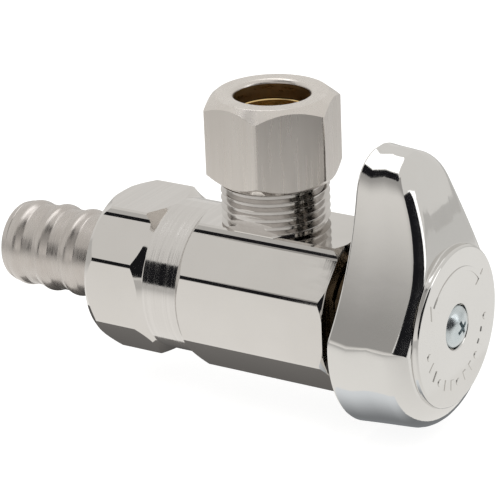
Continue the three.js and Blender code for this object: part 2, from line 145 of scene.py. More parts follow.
def trace(name, points):
    """Draws a line through the points, edge by edge, from one vertex."""
    deselect()
    bpy.ops.mesh.primitive_plane_add(size=1)
    piece = bpy.context.object
    piece.name = name
    bpy.ops.object.mode_set(mode="EDIT")
    bpy.ops.mesh.select_mode(type="VERT")
    bpy.ops.mesh.select_all(action="SELECT")
    bpy.ops.mesh.merge(type="CENTER")
    bpy.ops.transform.translate(value=points[0])
    for here, there in zip(points, points[1:]):
        step = Vector(there) - Vector(here)
        bpy.ops.mesh.extrude_region_move(TRANSFORM_OT_translate={"value": step})
    leave()
    return piece


def turned(name, profile, axis="Y", steps=ROUND):
    """Spins a profile of (radius, distance along the axis) round an axis."""
    if axis == "Y":
        points = [Vector((radius, along, 0)) for radius, along in profile]
        spin_axis = (0, 1, 0)
    else:
        points = [Vector((radius, 0, along)) for radius, along in profile]
        spin_axis = (0, 0, 1)
    piece = trace(name, points)
    edit(piece)
    bpy.ops.mesh.spin(steps=steps, angle=2 * math.pi, center=(0, 0, 0), axis=spin_axis)
    leave()
    tidy_faces(piece)
    return piece


def prism(name, outline, low, high, axis="Y"):
    """Fills an outline of (x, z) points and extrudes it along Y, or of (x, y) points along Z."""
    def place(u, v, along):
        return Vector((u, along, v)) if axis == "Y" else Vector((u, v, along))

    piece = trace(name, [place(u, v, low) for u, v in [*outline, outline[0]]])
    edit(piece)
    bpy.ops.mesh.remove_doubles(threshold=0.0005)
    bpy.ops.mesh.edge_face_add()
    depth = place(0, 0, high - low)
    bpy.ops.mesh.extrude_region_move(TRANSFORM_OT_translate={"value": depth})
    leave()
    tidy_faces(piece)
    return piece


def box_piece(name, low, high):
    deselect()
    size = [b - a for a, b in zip(low, high)]
    middle = [(a + b) / 2 for a, b in zip(low, high)]
    bpy.ops.mesh.primitive_cube_add(size=1, location=(0, 0, 0))
    piece = bpy.context.object
    piece.name = name
    edit(piece)
    bpy.ops.transform.resize(value=size, center_override=(0, 0, 0))
    bpy.ops.transform.translate(value=middle)
    leave()
    return piece


def combine(piece, other, operation):
    """Joins, cuts or intersects a piece with another, which is used up."""
    apply_modifier(piece, "BOOLEAN", operation=operation, solver="EXACT", object=other)
    bpy.data.objects.remove(other)
    return piece


def bevel_edges(piece, chosen, offset, segments=3):
    """Bevels the edges for which chosen(start, end) is true."""
    edit(piece, "DESELECT", "EDGE")
    leave()
    mesh = piece.data
    for edge in mesh.edges:
        start, end = (mesh.vertices[i].co for i in edge.vertices)
        edge.select = bool(chosen(start, end))
    bpy.ops.object.mode_set(mode="EDIT")
    bpy.ops.mesh.bevel(offset=offset, segments=segments, profile=0.5, affect="EDGES",
                       clamp_overlap=False)
    leave()


def along_y(start, end):
    step = end - start
    return abs(step.y) > 1 and math.hypot(step.x, step.z) < 0.01


def finish_piece(piece, name, body, nodes, materials, smooth=30, choose=None):
    """Smooths a piece, gives it its finishes, moves it to its place in metres and lets it ride."""
    hold(piece)
    piece.name = name
    piece.data.name = name
    piece.data.materials.clear()
    for material in materials:
        piece.data.materials.append(material)
    if choose:
        for face in piece.data.polygons:
            face.material_index = choose(face.center, face.normal)
    bpy.ops.object.shade_smooth_by_angle(angle=math.radians(smooth))
    apply_modifier(piece, "WEIGHTED_NORMAL", keep_sharp=True, weight=70)
    edit(piece)
    bpy.ops.transform.resize(value=(MM, MM, MM), center_override=(0, 0, 0))
    bpy.ops.transform.translate(value=CROSSING)
    leave()
    deselect()
    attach(piece, body)
    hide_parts(*nodes)
    return piece


# Materials.

class Finish:
    """A node material whose patterns read Object coordinates, given here in millimetres."""

    def __init__(self, name, color, metallic, roughness):
        self.material = bpy.data.materials.new(name)
        self.material.use_nodes = True
        self.tree = self.material.node_tree
        self.shader = self.tree.nodes["Principled BSDF"]
        self.shader.inputs["Base Color"].default_value = (*color, 1)
        self.shader.inputs["Metallic"].default_value = metallic
        self.shader.inputs["Roughness"].default_value = roughness
        self.coordinates = self.add("ShaderNodeTexCoord").outputs["Object"]
        self.heights = []

    def add(self, kind, inputs=None, **settings):
        node = self.tree.nodes.new(kind)
        for key, value in settings.items():
            setattr(node, key, value)
        for key, value in (inputs or {}).items():
            if isinstance(value, bpy.types.NodeSocket):
                self.tree.links.new(value, node.inputs[key])
            else:
                node.inputs[key].default_value = value
        return node

    def place(self, scale, turn=(0, 0, 0)):
        """Object coordinates multiplied by scale per millimetre along each axis."""
        inputs = {"Vector": self.coordinates, "Rotation": turn,
                  "Scale": [s / MM for s in scale]}
        return self.add("ShaderNodeMapping", inputs).outputs["Vector"]

    def noise(self, scale, detail=3, turn=(0, 0, 0)):
        inputs = {"Vector": self.place(scale, turn), "Scale": 1, "Detail": detail}
        return self.add("ShaderNodeTexNoise", inputs).outputs["Fac"]

    def ramp(self, value, low, high, start=0.3, end=0.7):
        inputs = {"Value": value, "From Min": start, "From Max": end, "To Min": low,
                  "To Max": high}
        return self.add("ShaderNodeMapRange", inputs).outputs["Result"]

    def tint(self, value, low, high):
        mix = self.add("ShaderNodeMix", data_type="RGBA")
        self.tree.links.new(value, mix.inputs["Factor"])
        mix.inputs["A"].default_value = (*low, 1)
        mix.inputs["B"].default_value = (*high, 1)
        return mix.outputs["Result"]

    def color(self, value, low, high):
        self.tree.links.new(self.tint(value, low, high), self.shader.inputs["Base Color"])

    def roughness(self, value, low, high):
        self.tree.links.new(self.ramp(value, low, high), self.shader.inputs["Roughness"])

    def bump(self, value, height, strength=1.0):
        """Adds a layer of bump whose full height is given in millimetres."""
        inputs = {"Height": value, "Distance": height * MM, "Strength": strength}
        if self.heights:
            inputs["Normal"] = self.heights[-1]
        normal = self.add("ShaderNodeBump", inputs).outputs["Normal"]
        self.heights.append(normal)
        self.tree.links.new(normal, self.shader.inputs["Normal"])


def body_chrome():
    finish = Finish("body_chrome", (0.64, 0.62, 0.60), 1, 0.06)
    haze = finish.noise((0.12, 0.12, 0.12), 4)
    finish.color(haze, (0.61, 0.59, 0.565), (0.68, 0.66, 0.64))
    finish.roughness(finish.noise((0.9, 0.25, 0.9), 4), 0.03, 0.10)
    rings = finish.noise((0.03, 5.0, 0.03), 2)
    finish.bump(rings, 0.0016)
    finish.bump(finish.noise((0.25, 0.12, 0.25), 2), 0.004)
    return finish.material


def thread_chrome():
    finish = Finish("thread_chrome", (0.58, 0.55, 0.53), 1, 0.12)
    finish.color(finish.noise((0.5, 0.5, 2.0), 4), (0.50, 0.475, 0.455), (0.64, 0.62, 0.60))
    finish.roughness(finish.noise((1.0, 1.0, 1.0), 4), 0.08, 0.2)
    finish.bump(finish.noise((1.2, 1.2, 1.2), 2), 0.0012)
    return finish.material


def collar_chrome():
    finish = Finish("collar_chrome", (0.66, 0.64, 0.62), 1, 0.09)
    finish.color(finish.noise((0.05, 3.0, 0.05), 4), (0.60, 0.58, 0.56), (0.72, 0.70, 0.68))
    finish.roughness(finish.noise((0.05, 4.0, 0.05), 4), 0.05, 0.16)
    finish.bump(finish.noise((0.02, 3.5, 0.02), 3), 0.010)
    return finish.material


def barb_chrome():
    finish = Finish("barb_satin_chrome", (0.62, 0.58, 0.55), 1, 0.28)
    finish.color(finish.noise((0.3, 0.5, 0.3), 4), (0.47, 0.43, 0.40), (0.60, 0.57, 0.545))
    finish.roughness(finish.noise((0.4, 3.0, 0.4), 4), 0.20, 0.36)
    finish.bump(finish.noise((0.05, 6.0, 0.05), 3), 0.006)
    finish.bump(finish.noise((2.5, 2.5, 2.5), 3), 0.003)
    return finish.material


def lever_chrome():
    finish = Finish("lever_chrome", (0.69, 0.68, 0.665), 1, 0.07)
    finish.color(finish.noise((0.1, 0.1, 0.1), 4), (0.66, 0.65, 0.63), (0.72, 0.71, 0.695))
    finish.roughness(finish.noise((0.6, 0.6, 0.6), 4), 0.04, 0.12)
    finish.bump(finish.noise((0.55, 0.55, 0.55), 2), 0.010)
    finish.bump(finish.noise((4.5, 4.5, 4.5), 2), 0.0016)
    return finish.material


def nut_chrome():
    finish = Finish("nut_satin_chrome", (0.66, 0.62, 0.58), 1, 0.22)
    finish.color(finish.noise((0.5, 0.5, 0.04), 4), (0.64, 0.60, 0.56), (0.74, 0.705, 0.67))
    finish.roughness(finish.noise((2.0, 2.0, 0.1), 4), 0.24, 0.36)
    finish.bump(finish.noise((9.0, 9.0, 0.3), 3), 0.0006)
    finish.bump(finish.noise((5.0, 5.0, 5.0), 2), 0.001)
    return finish.material


def bore_brass():
    finish = Finish("nut_bore_brass", (0.36, 0.25, 0.13), 1, 0.32)
    finish.color(finish.noise((0.6, 0.6, 0.6), 4), (0.26, 0.18, 0.10), (0.45, 0.32, 0.17))
    finish.roughness(finish.noise((0.5, 0.5, 3.0), 3), 0.25, 0.42)
    finish.bump(finish.noise((0.05, 0.05, 6.0), 3), 0.008)
    return finish.material


def turned_brass(name, axis, color=(0.72, 0.52, 0.22)):
    finish = Finish(name, color, 1, 0.24)
    low = [c * 0.86 for c in color]
    high = [min(c * 1.1, 1) for c in color]
    finish.color(finish.noise((0.5, 0.5, 0.5), 4), low, high)
    along = (0.05, 6.0, 0.05) if axis == "Y" else (0.05, 0.05, 6.0)
    finish.roughness(finish.noise(along, 3), 0.18, 0.32)
    finish.bump(finish.noise(along, 3), 0.006)
    return finish.material


def zinc_plate():
    finish = Finish("zinc_plate", (0.60, 0.655, 0.67), 1, 0.24)
    finish.color(finish.noise((0.8, 0.8, 0.8), 4), (0.50, 0.56, 0.585), (0.68, 0.72, 0.73))
    finish.roughness(finish.noise((1.5, 1.5, 1.5), 4), 0.16, 0.34)
    finish.bump(finish.noise((3.0, 3.0, 3.0), 3), 0.006)
    return finish.material


def seat_plastic():
    finish = Finish("seat_plastic", (0.86, 0.86, 0.83), 0, 0.45)
    finish.color(finish.noise((0.6, 0.6, 0.6), 4), (0.82, 0.82, 0.78), (0.90, 0.90, 0.87))
    finish.roughness(finish.noise((2.0, 2.0, 2.0), 3), 0.38, 0.55)
    finish.bump(finish.noise((3.0, 3.0, 3.0), 3), 0.006)
    return finish.material


def ring_rubber():
    finish = Finish("ring_rubber", (0.022, 0.022, 0.024), 0, 0.5)
    finish.color(finish.noise((1.0, 1.0, 1.0), 4), (0.018, 0.018, 0.02), (0.032, 0.032, 0.034))
    finish.roughness(finish.noise((2.0, 2.0, 2.0), 3), 0.4, 0.6)
    finish.bump(finish.noise((5.0, 5.0, 5.0), 3), 0.004)
    return finish.material


BODY_CHROME = body_chrome()
THREAD_CHROME = thread_chrome()
COLLAR_CHROME = collar_chrome()
BARB_CHROME = barb_chrome()
LEVER_CHROME = lever_chrome()
NUT_CHROME = nut_chrome()
BORE_BRASS = bore_brass()
SLEEVE_BRASS = turned_brass("sleeve_brass", "Z", (0.80, 0.58, 0.27))
STEM_BRASS = turned_brass("stem_brass", "Y")
# The bonnet's colour is brass darkened to a near-black brown. Its own brass tone carries painted
# shade for the dark gap between the lever and the body.
BONNET_SHADED_BRASS = turned_brass("bonnet_brass_painted_shade", "Y", (0.10, 0.072, 0.045))
ZINC_PLATE = zinc_plate()
SEAT_PLASTIC = seat_plastic()
RING_RUBBER = ring_rubber()


# Threads.

def threaded_rod(name, crest, root, low, high, steps=72):
    """One pitch of a thread's profile, screwed up the outlet axis and cut off flat at both ends."""
    pitch = THREAD_PITCH
    profile = [(root, 0), (root, 0.14 * pitch), (crest - 0.05, 0.44 * pitch),
               (crest, 0.48 * pitch), (crest, 0.52 * pitch), (crest - 0.05, 0.56 * pitch),
               (root, 0.86 * pitch), (root, pitch)]
    first = math.floor(low / pitch) - 1
    turns = math.ceil(high / pitch) + 2 - first
    piece = trace(name, [Vector((r, 0, z + first * pitch)) for r, z in profile])
    apply_modifier(piece, "SCREW", axis="Z", angle=2 * math.pi, screw_offset=pitch,
                   iterations=turns, steps=steps, render_steps=steps, use_merge_vertices=True,
                   use_smooth_shade=False)
    tidy_faces(piece)
    for level, up in ((low, -1), (high, 1)):
        edit(piece)
        bpy.ops.mesh.bisect(plane_co=(0, 0, level), plane_no=(0, 0, up), use_fill=True,
                            clear_outer=True)
        leave()
    tidy_faces(piece)
    return piece


# Valve body.

def body_outline():
    """The octagon with the low rib that is left along its milled top."""
    corner = FLAT * math.tan(math.pi / 8)
    right = [(FLAT, corner), (RIB_FOOT, FLAT + corner - RIB_FOOT), (RIB_CROWN, TOP_FACE)]
    left = [(-x, z) for x, z in reversed(right)]
    bottom = [(-FLAT, -corner), (-corner, -FLAT), (corner, -FLAT), (FLAT, -corner)]
    return right + left + bottom


def barb_profile():
    """Three rounded ribs, with a plain neck to the pipe stop and a bevelled nose."""
    neck, crest = 5.6, 6.02
    ribs = [(30.5, crest), (34.8, crest), (39.1, crest - 0.12)]
    half = 1.3
    profile = [(0, PIPE_STOP - 1), (neck + 0.25, PIPE_STOP - 1), (neck + 0.25, PIPE_STOP + 0.2),
               (neck, PIPE_STOP + 0.5)]
    for middle, radius in ribs:
        for k in range(13):
            along = -half + 2 * half * k / 12
            rise = math.cos(along / half * math.pi / 2) ** 1.2 if abs(along) < half else 0
            profile.append((neck + (radius - neck) * rise, middle + along))
    nose = 5.15
    profile += [(neck + 0.03, BARB_TIP - 1.0), (nose + 0.25, BARB_TIP - 0.3),
                (nose + 0.05, BARB_TIP - 0.06), (nose - 0.1, BARB_TIP), (0, BARB_TIP)]
    return profile


def outlet_stub():
    """The threaded stub, with two flats at its foot that lean outwards."""
    stub = threaded_rod("stub", THREAD_CREST, THREAD_ROOT, TOP_FACE - 2, STUB_TOP)
    lead = turned("lead", [(0, TOP_FACE - 3), (9, TOP_FACE - 3), (9, STUB_TOP - 1.2),
                           (THREAD_ROOT - 0.15, STUB_TOP), (0, STUB_TOP)], "Z", 96)
    combine(stub, lead, "INTERSECT")
    flat_top = TOP_FACE + STUB_FLAT
    for side in (-1, 1):
        outline = [(STUB_FOOT, TOP_FACE - 3), (STUB_FOOT, TOP_FACE),
                   (THREAD_CREST + 0.25, flat_top), (12, flat_top), (12, TOP_FACE - 3)]
        cutter = prism("flat", [(x * side, z) for x, z in outline], -9, 9)
        combine(stub, cutter, "DIFFERENCE")
    return stub


def make_body():
    block = prism("block", body_outline(), BODY_FRONT - 1, PIPE_STOP + 1)
    bevel_edges(block, lambda a, b: along_y(a, b) and a.z > TOP_FACE - 0.1,
                TOP_EDGE_ROUND, 2)
    bevel_edges(block, lambda a, b: along_y(a, b) and a.z < TOP_FACE - 0.3,
                EDGE_ROUND, 5)
    corner = FLAT / math.cos(math.pi / 8) + 0.05
    envelope = turned("envelope", [
        (0, BODY_FRONT), (corner - 0.75, BODY_FRONT), (corner - 0.6, BODY_FRONT + 0.1),
        (corner, BODY_FRONT + 0.7), (corner, 8.4), (COLLAR_RADIUS + 0.15, 9.55),
        (COLLAR_RADIUS, 9.8), (COLLAR_RADIUS, 14.9), (COLLAR_RADIUS + 0.08, 15.05),
        (corner, 16.5), (corner, 22.2), (10.45, 23.75), (10.28, 24.0), (10.05, PIPE_STOP),
        (0, PIPE_STOP)])
    combine(block, envelope, "INTERSECT")
    combine(block, turned("barb", barb_profile()), "UNION")
    combine(block, outlet_stub(), "UNION")
    inlet_way = turned("inlet_way", [
        (0, -2), (3.4, -2), (3.4, 12), (4.45, 13), (4.45, BARB_TIP - 0.35),
        (4.75, BARB_TIP + 0.01), (4.75, BARB_TIP + 1), (0, BARB_TIP + 1)])
    outlet_way = turned("outlet_way", [
        (0, 1), (3.2, 1), (3.2, SOCKET_STOP), (SOCKET_RADIUS, SOCKET_STOP),
        (SOCKET_RADIUS, STUB_TOP - 1.6), (5.85, STUB_TOP), (5.85, STUB_TOP + 1),
        (0, STUB_TOP + 1)], "Z")
    chamber = turned("chamber", [
        (0, BODY_FRONT - 1), (7.5, BODY_FRONT - 1), (7.5, -9.1), (6.6, -9.1), (6.6, 7.1), (0, 7.1)])
    seat_pocket = turned("seat_pocket", [(0, 1), (4.2, 1), (4.2, 7.35), (0, 7.35)], "Z")
    for cutter in (inlet_way, outlet_way, chamber, seat_pocket):
        combine(block, cutter, "DIFFERENCE")

    def choose(center, normal):
        if center.y > PIPE_STOP + 0.02:
            return 1
        if center.z > TOP_FACE + 0.1:
            return 2
        on_collar = 9.6 < center.y < 15.1 and math.hypot(center.x, center.z) > COLLAR_RADIUS - 0.1
        return 3 if on_collar else 0

    finish_piece(block, "body_casting", "body", ["valve_body"],
                 [BODY_CHROME, BARB_CHROME, THREAD_CHROME, COLLAR_CHROME], 26, choose)


# Compression nut and sleeve.

NUT_FLATS = 15.875
NUT_TURN = math.radians(-73.2)


def make_nut():
    radius = NUT_FLATS / 2 / math.cos(math.pi / 6)
    corners = [NUT_TURN + k * math.pi / 3 for k in range(6)]
    outline = [(radius * math.sin(a), -radius * math.cos(a)) for a in corners]
    low, high = NUT_LOW.z, NUT_HIGH.z
    nut = prism("nut", outline, low - 1, high + 1, "Z")
    bevel_edges(nut, lambda a, b: abs((b - a).z) > 1, 0.25, 4)
    corner = radius + 0.1
    bottom_slope = low + 0.06 + NUT_CHAMFER * (corner - NUT_BOTTOM_FACE)
    top_slope = high - 0.06 - NUT_CHAMFER * (corner - NUT_TOP_FACE)
    envelope = turned("envelope", [
        (0, low), (NUT_BOTTOM_FACE - 0.15, low), (NUT_BOTTOM_FACE, low + 0.06),
        (corner, bottom_slope), (corner, top_slope), (NUT_TOP_FACE, high - 0.06),
        (NUT_TOP_FACE - 0.15, high), (0, high)], "Z")
    combine(nut, envelope, "INTERSECT")
    flare = []
    for k in range(5):
        turn = k * math.pi / 8
        flare.append((NUT_BORE + (NUT_MOUTH - NUT_BORE) * (1 - math.cos(turn)),
                      high - MOUTH_DEPTH + MOUTH_DEPTH * math.sin(turn)))
    inside = turned("inside", [
        (0, low + 6.3), (6.1, low + 6.3), (6.1, SLEEVE_HIGH.z - 1.4),
        (NUT_BORE, SLEEVE_HIGH.z + 0.15), (NUT_BORE, high - MOUTH_DEPTH - 0.05), *flare,
        (NUT_MOUTH, high + 1), (0, high + 1)], "Z")
    lead = turned("lead", [(0, low - 1), (7.6, low - 1), (7.6, low), (7.35, low + 0.3),
                           (6.5, low + 1.1), (0, low + 1.1)], "Z")
    tapped = threaded_rod("tapped", THREAD_CREST + 0.18, THREAD_ROOT + 0.18, low - 0.5, low + 6.5)
    for cutter in (inside, lead, tapped):
        combine(nut, cutter, "DIFFERENCE")

    def choose(center, normal):
        radial = Vector((center.x, center.y, 0))
        inward = radial.length < 7.4 and normal.dot(radial) < -0.1 * radial.length
        return 1 if inward and center.z < high - 0.6 else 0

    finish_piece(nut, "nut_hexagon", "nut", ["compression_nut"],
                 [NUT_CHROME, BORE_BRASS], 28, choose)


def make_sleeve():
    inner, outer = 4.82, SLEEVE_HIGH.x
    low, high = SLEEVE_LOW.z, SLEEVE_HIGH.z
    end = outer - 0.8
    profile = [(inner, low + 0.1), (inner + 0.1, low), (end - 0.1, low), (end, low + 0.1),
               (outer - 0.05, low + 1.5), (outer, low + 1.75), (outer, high - 1.75),
               (outer - 0.05, high - 1.5)]
    grooves = 4
    for k in range(grooves):
        start = high - 1.4 + k * 1.3 / grooves
        radius = outer - 0.05 - (start - high + 1.5) / 1.5 * 0.75
        profile += [(radius, start), (radius - 0.07, start + 0.08), (radius - 0.14, start + 0.2)]
    profile += [(end - 0.02, high - 0.04), (end - 0.1, high), (inner + 0.12, high),
                (inner, high - 0.12), (inner, low + 0.1)]
    sleeve = turned("sleeve", profile, "Z")
    finish_piece(sleeve, "sleeve_ring", "sleeve", ["compression_sleeve"],
                 [SLEEVE_BRASS], 35)


# Lever.

LEVER_BACK = LEVER_HIGH.y
LEVER_FACE = LEVER_LOW.y
LEVER_DEPTH = 10.3
ROUND_RADIUS = LEVER_HIGH.x
LEVER_TIP = LEVER_HIGH.z
BOSS_RADIUS = 10.6


def curve(start, control, end, count):
    """Points along a quadratic curve, without its last one."""
    points = []
    for k in range(count):
        t = k / count
        points.append(tuple((1 - t) ** 2 * a + 2 * t * (1 - t) * b + t * t * c
                            for a, b, c in zip(start, control, end)))
    return points


def drop_outline():
    """The lever's outline: scooped sides up to a small flat tip, and a round lower end."""
    foot, shoulder, tip_half = (13.75, 1.65), (6.0, 18.2), 1.2
    strip = [(ROUND_RADIUS, -0.2), (ROUND_RADIUS - 0.03, 0.4), (ROUND_RADIUS - 0.12, 0.95),
             (ROUND_RADIUS - 0.27, 1.35)]
    side = curve(foot, (7.9, 8.8), shoulder, 26)
    corner = curve(shoulder, (5.3, 21.9), (tip_half, LEVER_TIP), 14)
    right = strip + side + corner + [(tip_half, LEVER_TIP), (tip_half / 2, LEVER_TIP)]
    left = [(-x, z) for x, z in reversed(right)]
    arc = []
    count = 56
    slope = math.asin(0.2 / ROUND_RADIUS)
    for k in range(1, count):
        angle = math.pi + slope + (math.pi - 2 * slope) * k / count
        arc.append((ROUND_RADIUS * math.cos(angle), ROUND_RADIUS * math.sin(angle)))
    return right + [(0, LEVER_TIP)] + left + arc


def lever_depth(height):
    """How far the front stands from the back plane: full at the boss, thin at the tip."""
    return LEVER_DEPTH - 0.0427 * max(height - 7, 0) ** 1.7


def ease(value, low, high):
    t = min(max((value - low) / (high - low), 0), 1)
    return t * t * (3 - 2 * t)


def lever_rings():
    """Rings of points from the bottom of the stem socket, round the lever, to the screw recess."""
    outline = [Vector(p) for p in drop_outline()]
    count = len(outline)
    normals = []
    for i in range(count):
        step = outline[(i + 1) % count] - outline[i - 1]
        normals.append(Vector((step.y, -step.x)).normalized())
    angles = [math.atan2(p.x, p.y) for p in outline]

    def circle(radius, y):
        return [Vector((radius * math.sin(a), y, radius * math.cos(a))) for a in angles]

    def square(half, y):
        reach = [half / max(abs(math.sin(a)), abs(math.cos(a))) for a in angles]
        return [Vector((r * math.sin(a), y, r * math.cos(a))) for r, a in zip(reach, angles)]

    def inward(distance):
        """Outline points moved inwards, by one distance or one each."""
        moves = distance if isinstance(distance, list) else [distance] * count
        return [p - n * d for p, n, d in zip(outline, normals, moves)]

    def at(points, y_of):
        return [Vector((p.x, y_of(p, i), p.y)) for i, p in enumerate(points)]

    front = LEVER_BACK - LEVER_DEPTH
    wall, draft = 2.0, 0.075
    socket_half, socket_floor, hub_top, hub_radius = 2.9, -21.8, -15.7, 6.2

    def front_at(p, i):
        return LEVER_BACK - lever_depth(p.y)

    def floor_at(p, i):
        return LEVER_BACK - (lever_depth(p.y) - wall - 0.4)

    rings = [
        square(socket_half - 0.05, socket_floor), square(socket_half, socket_floor + 0.1),
        square(socket_half, hub_top - 0.25), square(socket_half + 0.2, hub_top),
        circle(hub_radius - 0.3, hub_top), circle(hub_radius, hub_top - 0.3)]
    hub_floor = [Vector((p.x, p.z)) for p in circle(hub_radius + 0.1, 0)]
    hub_fillet = [Vector((p.x, p.z)) for p in circle(hub_radius + 0.6, 0)]
    rings.append(at(hub_floor, lambda p, i: floor_at(p, i) + 0.6))
    rings.append(at(hub_fillet, floor_at))
    inner_foot = inward(wall + 1.0)
    rings.append(at([a.lerp(b, 0.5) for a, b in zip(hub_fillet, inner_foot)], floor_at))
    rings.append(at(inner_foot, floor_at))
    rings.append(at(inward(wall + 0.45), lambda p, i: floor_at(p, i) + 0.3))
    rings.append(at(inward(wall + 0.3), lambda p, i: floor_at(p, i) + 0.9))
    rings.append(at(inward(wall), lambda p, i: LEVER_BACK - 0.3))
    rings.append(at(inward(wall - 0.25), lambda p, i: LEVER_BACK))
    rings.append(at(inward(0.35), lambda p, i: LEVER_BACK))
    rings.append(at(inward(0.1), lambda p, i: LEVER_BACK - 0.1))
    rings.append(at(inward(0), lambda p, i: LEVER_BACK - 0.35))

    fillets = [1.7 + 1.2 * (1 - ease(p.y, -2, 8)) for p in outline]
    shoulder = [lever_depth(p.y) - f for p, f in zip(outline, fillets)]
    for share in (0.35, 0.7, 1.0):
        moves = [draft * share * s for s in shoulder]
        rings.append(at(inward(moves), lambda p, i: LEVER_BACK - share * shoulder[i]))
    steps = 8
    for k in range(1, steps + 1):
        turn = k / steps * math.pi / 2
        moves = [draft * s + f * (1 - math.cos(turn)) for s, f in zip(shoulder, fillets)]
        rings.append(at(inward(moves),
                        lambda p, i: front_at(p, i) + fillets[i] * (1 - math.sin(turn))))
    edge = inward([draft * s + f for s, f in zip(shoulder, fillets)])
    base = [Vector((p.x, p.z)) for p in circle(BOSS_RADIUS + 0.1, 0)]
    for k in range(1, 7):
        share = k / 6
        rings.append(at([a.lerp(b, share) for a, b in zip(edge, base)], front_at))
    for k in range(1, 5):
        turn = k / 5 * math.pi / 2
        radius = BOSS_RADIUS + 0.1 - 0.08 * math.sin(turn)
        foot = [Vector((p.x, p.z)) for p in circle(radius, 0)]
        rings.append(at(foot, lambda p, i: front_at(p, i) - 0.3 * (1 - math.cos(turn))))
    rim = 0.35
    for k in range(6):
        turn = k / 5 * math.pi / 2
        radius = BOSS_RADIUS - rim * (1 - math.cos(turn))
        rings.append(circle(radius, LEVER_FACE + rim * (1 - math.sin(turn))))
    for radius in (9.2, 7.6, 5.8, 4.2, 3.2):
        rings.append(circle(radius, LEVER_FACE))
    rings.append(circle(3.05, LEVER_FACE + 0.06))
    rings.append(circle(2.97, LEVER_FACE + 0.2))
    rings.append(circle(2.97, -25.42))
    return rings


def make_lever():
    """The lever's rings are the rings of a sphere, each moved to its own section."""
    rings = lever_rings()
    count = len(rings[0])
    deselect()
    bpy.ops.mesh.primitive_uv_sphere_add(segments=count, ring_count=len(rings) + 1, radius=1)
    lever = bpy.context.object
    levels = {}
    for vertex in lever.data.vertices:
        levels.setdefault(round(vertex.co.z, 4), []).append(vertex)
    ordered = [levels[z] for z in sorted(levels)]
    for level, ring in zip(ordered[1:-1], rings):
        level.sort(key=lambda v: math.atan2(v.co.y, v.co.x))
        for vertex, place in zip(level, ring):
            vertex.co = place
    ordered[0][0].co = (0, rings[0][0].y, 0)
    ordered[-1][0].co = (0, rings[-1][0].y, 0)
    lever.data.update()
    tidy_faces(lever)
    for angle in (199, 71, 0, -71):
        combine(lever, lever_rib(angle), "UNION")
    combine(lever, turned("screw_hole", [(0, -27), (1.7, -27), (1.7, -21), (0, -21)], steps=32),
            "DIFFERENCE")
    combine(lever, turn_mark(), "UNION")
    finish_piece(lever, "lever_casting", "lever", ["handle"], [LEVER_CHROME], 40)


def lever_rib(angle):
    """A web from the hub to the wall, inside the hollow back."""
    reach = {0: LEVER_TIP - 1.2, 199: ROUND_RADIUS - 1.2}.get(angle, ROUND_RADIUS - 3)
    floor = LEVER_BACK - (lever_depth(reach) if angle == 0 else LEVER_DEPTH) + 1.2
    low_end = LEVER_BACK - 1
    rib = box_piece("rib", (-0.8, floor, 5.0), (0.8, low_end, reach))
    edit(rib)
    bpy.ops.transform.rotate(value=-math.radians(angle), orient_axis="Y",
                             center_override=(0, 0, 0))
    leave()
    return rib


def turn_mark():
    """Raised marks on the boss: a double-headed turn arrow over a ring of short ticks."""
    middle, half_width, sweep = 7.6, 0.3, math.radians(52)
    face, proud = LEVER_FACE, 0.12
    steps = 20

    def polar(radius, angle):
        return radius * math.sin(angle), radius * math.cos(angle)

    outer = [polar(middle + half_width, -sweep + 2 * sweep * k / steps) for k in range(steps + 1)]
    inner = [polar(middle - half_width, sweep - 2 * sweep * k / steps) for k in range(steps + 1)]
    head = math.radians(12)
    right = [polar(middle + 1.25, sweep), polar(middle, sweep + head), polar(middle - 1.25, sweep)]
    left = [(-x, z) for x, z in reversed(right)]
    mark = prism("mark", outer + right + inner + left, face - proud, face + 0.3)
    marks = [mark]
    for k in range(13):
        angle = math.radians(100 + k * 160 / 12)
        x, z = polar(7.6, angle)
        deselect()
        if k % 3 == 0:
            bpy.ops.mesh.primitive_cylinder_add(vertices=24, radius=0.5, depth=proud + 0.3,
                                                location=(x, face + (0.3 - proud) / 2, z),
                                                rotation=(math.pi / 2, 0, 0))
            piece = bpy.context.object
            bpy.ops.object.transform_apply(location=True, rotation=True, scale=True)
        else:
            a, b = angle - 0.05, angle + 0.05
            outline = [polar(6.9, a), polar(8.3, a * 0.6 + b * 0.4), polar(8.3, a * 0.4 + b * 0.6),
                       polar(6.9, b)]
            piece = prism("tick", outline, face - proud, face + 0.3)
        marks.append(piece)
    hold(mark)
    for piece in marks:
        piece.select_set(True)
    bpy.ops.object.join()
    bevel_edges(mark, lambda a, b: a.y < face - proud + 0.01 and b.y < face - proud + 0.01,
                0.07, 2)
    tidy_faces(mark)
    return mark


# Screw.

def make_screw():
    radius = (SCREW_HIGH.x - SCREW_LOW.x) / 2
    crown, seat = SCREW_LOW.y, -25.5
    height = seat - crown
    profile = [(0, crown)]
    for k in range(1, 13):
        turn = k / 12 * math.pi / 2
        profile.append((radius * math.sin(turn), seat - 0.35 - (height - 0.35) * math.cos(turn)))
    profile += [(radius, seat - 0.1), (radius - 0.1, seat), (1.5, seat), (1.5, -15.6), (1.1, -15.0),
                (0, -15.0)]
    screw = turned("screw", profile, steps=64)
    for turn in (0, 90):
        slot = box_piece("slot", (-0.32, crown - 1, -1.65), (0.32, crown + 1.15, 1.65))
        edit(slot, "DESELECT")
        leave()
        for vertex in slot.data.vertices:
            vertex.select = vertex.co.y > crown
        bpy.ops.object.mode_set(mode="EDIT")
        bpy.ops.transform.resize(value=(0.7, 1, 0.35), center_override=(0, 0, 0))
        bpy.ops.mesh.select_all(action="SELECT")
        bpy.ops.transform.rotate(value=math.radians(turn + 28), orient_axis="Y",
                                 center_override=(0, 0, 0))
        leave()
        combine(screw, slot, "DIFFERENCE")
    finish_piece(screw, "screw_fastener", "lever", ["handle_screw"], [ZINC_PLATE], 35)


# Bonnet.

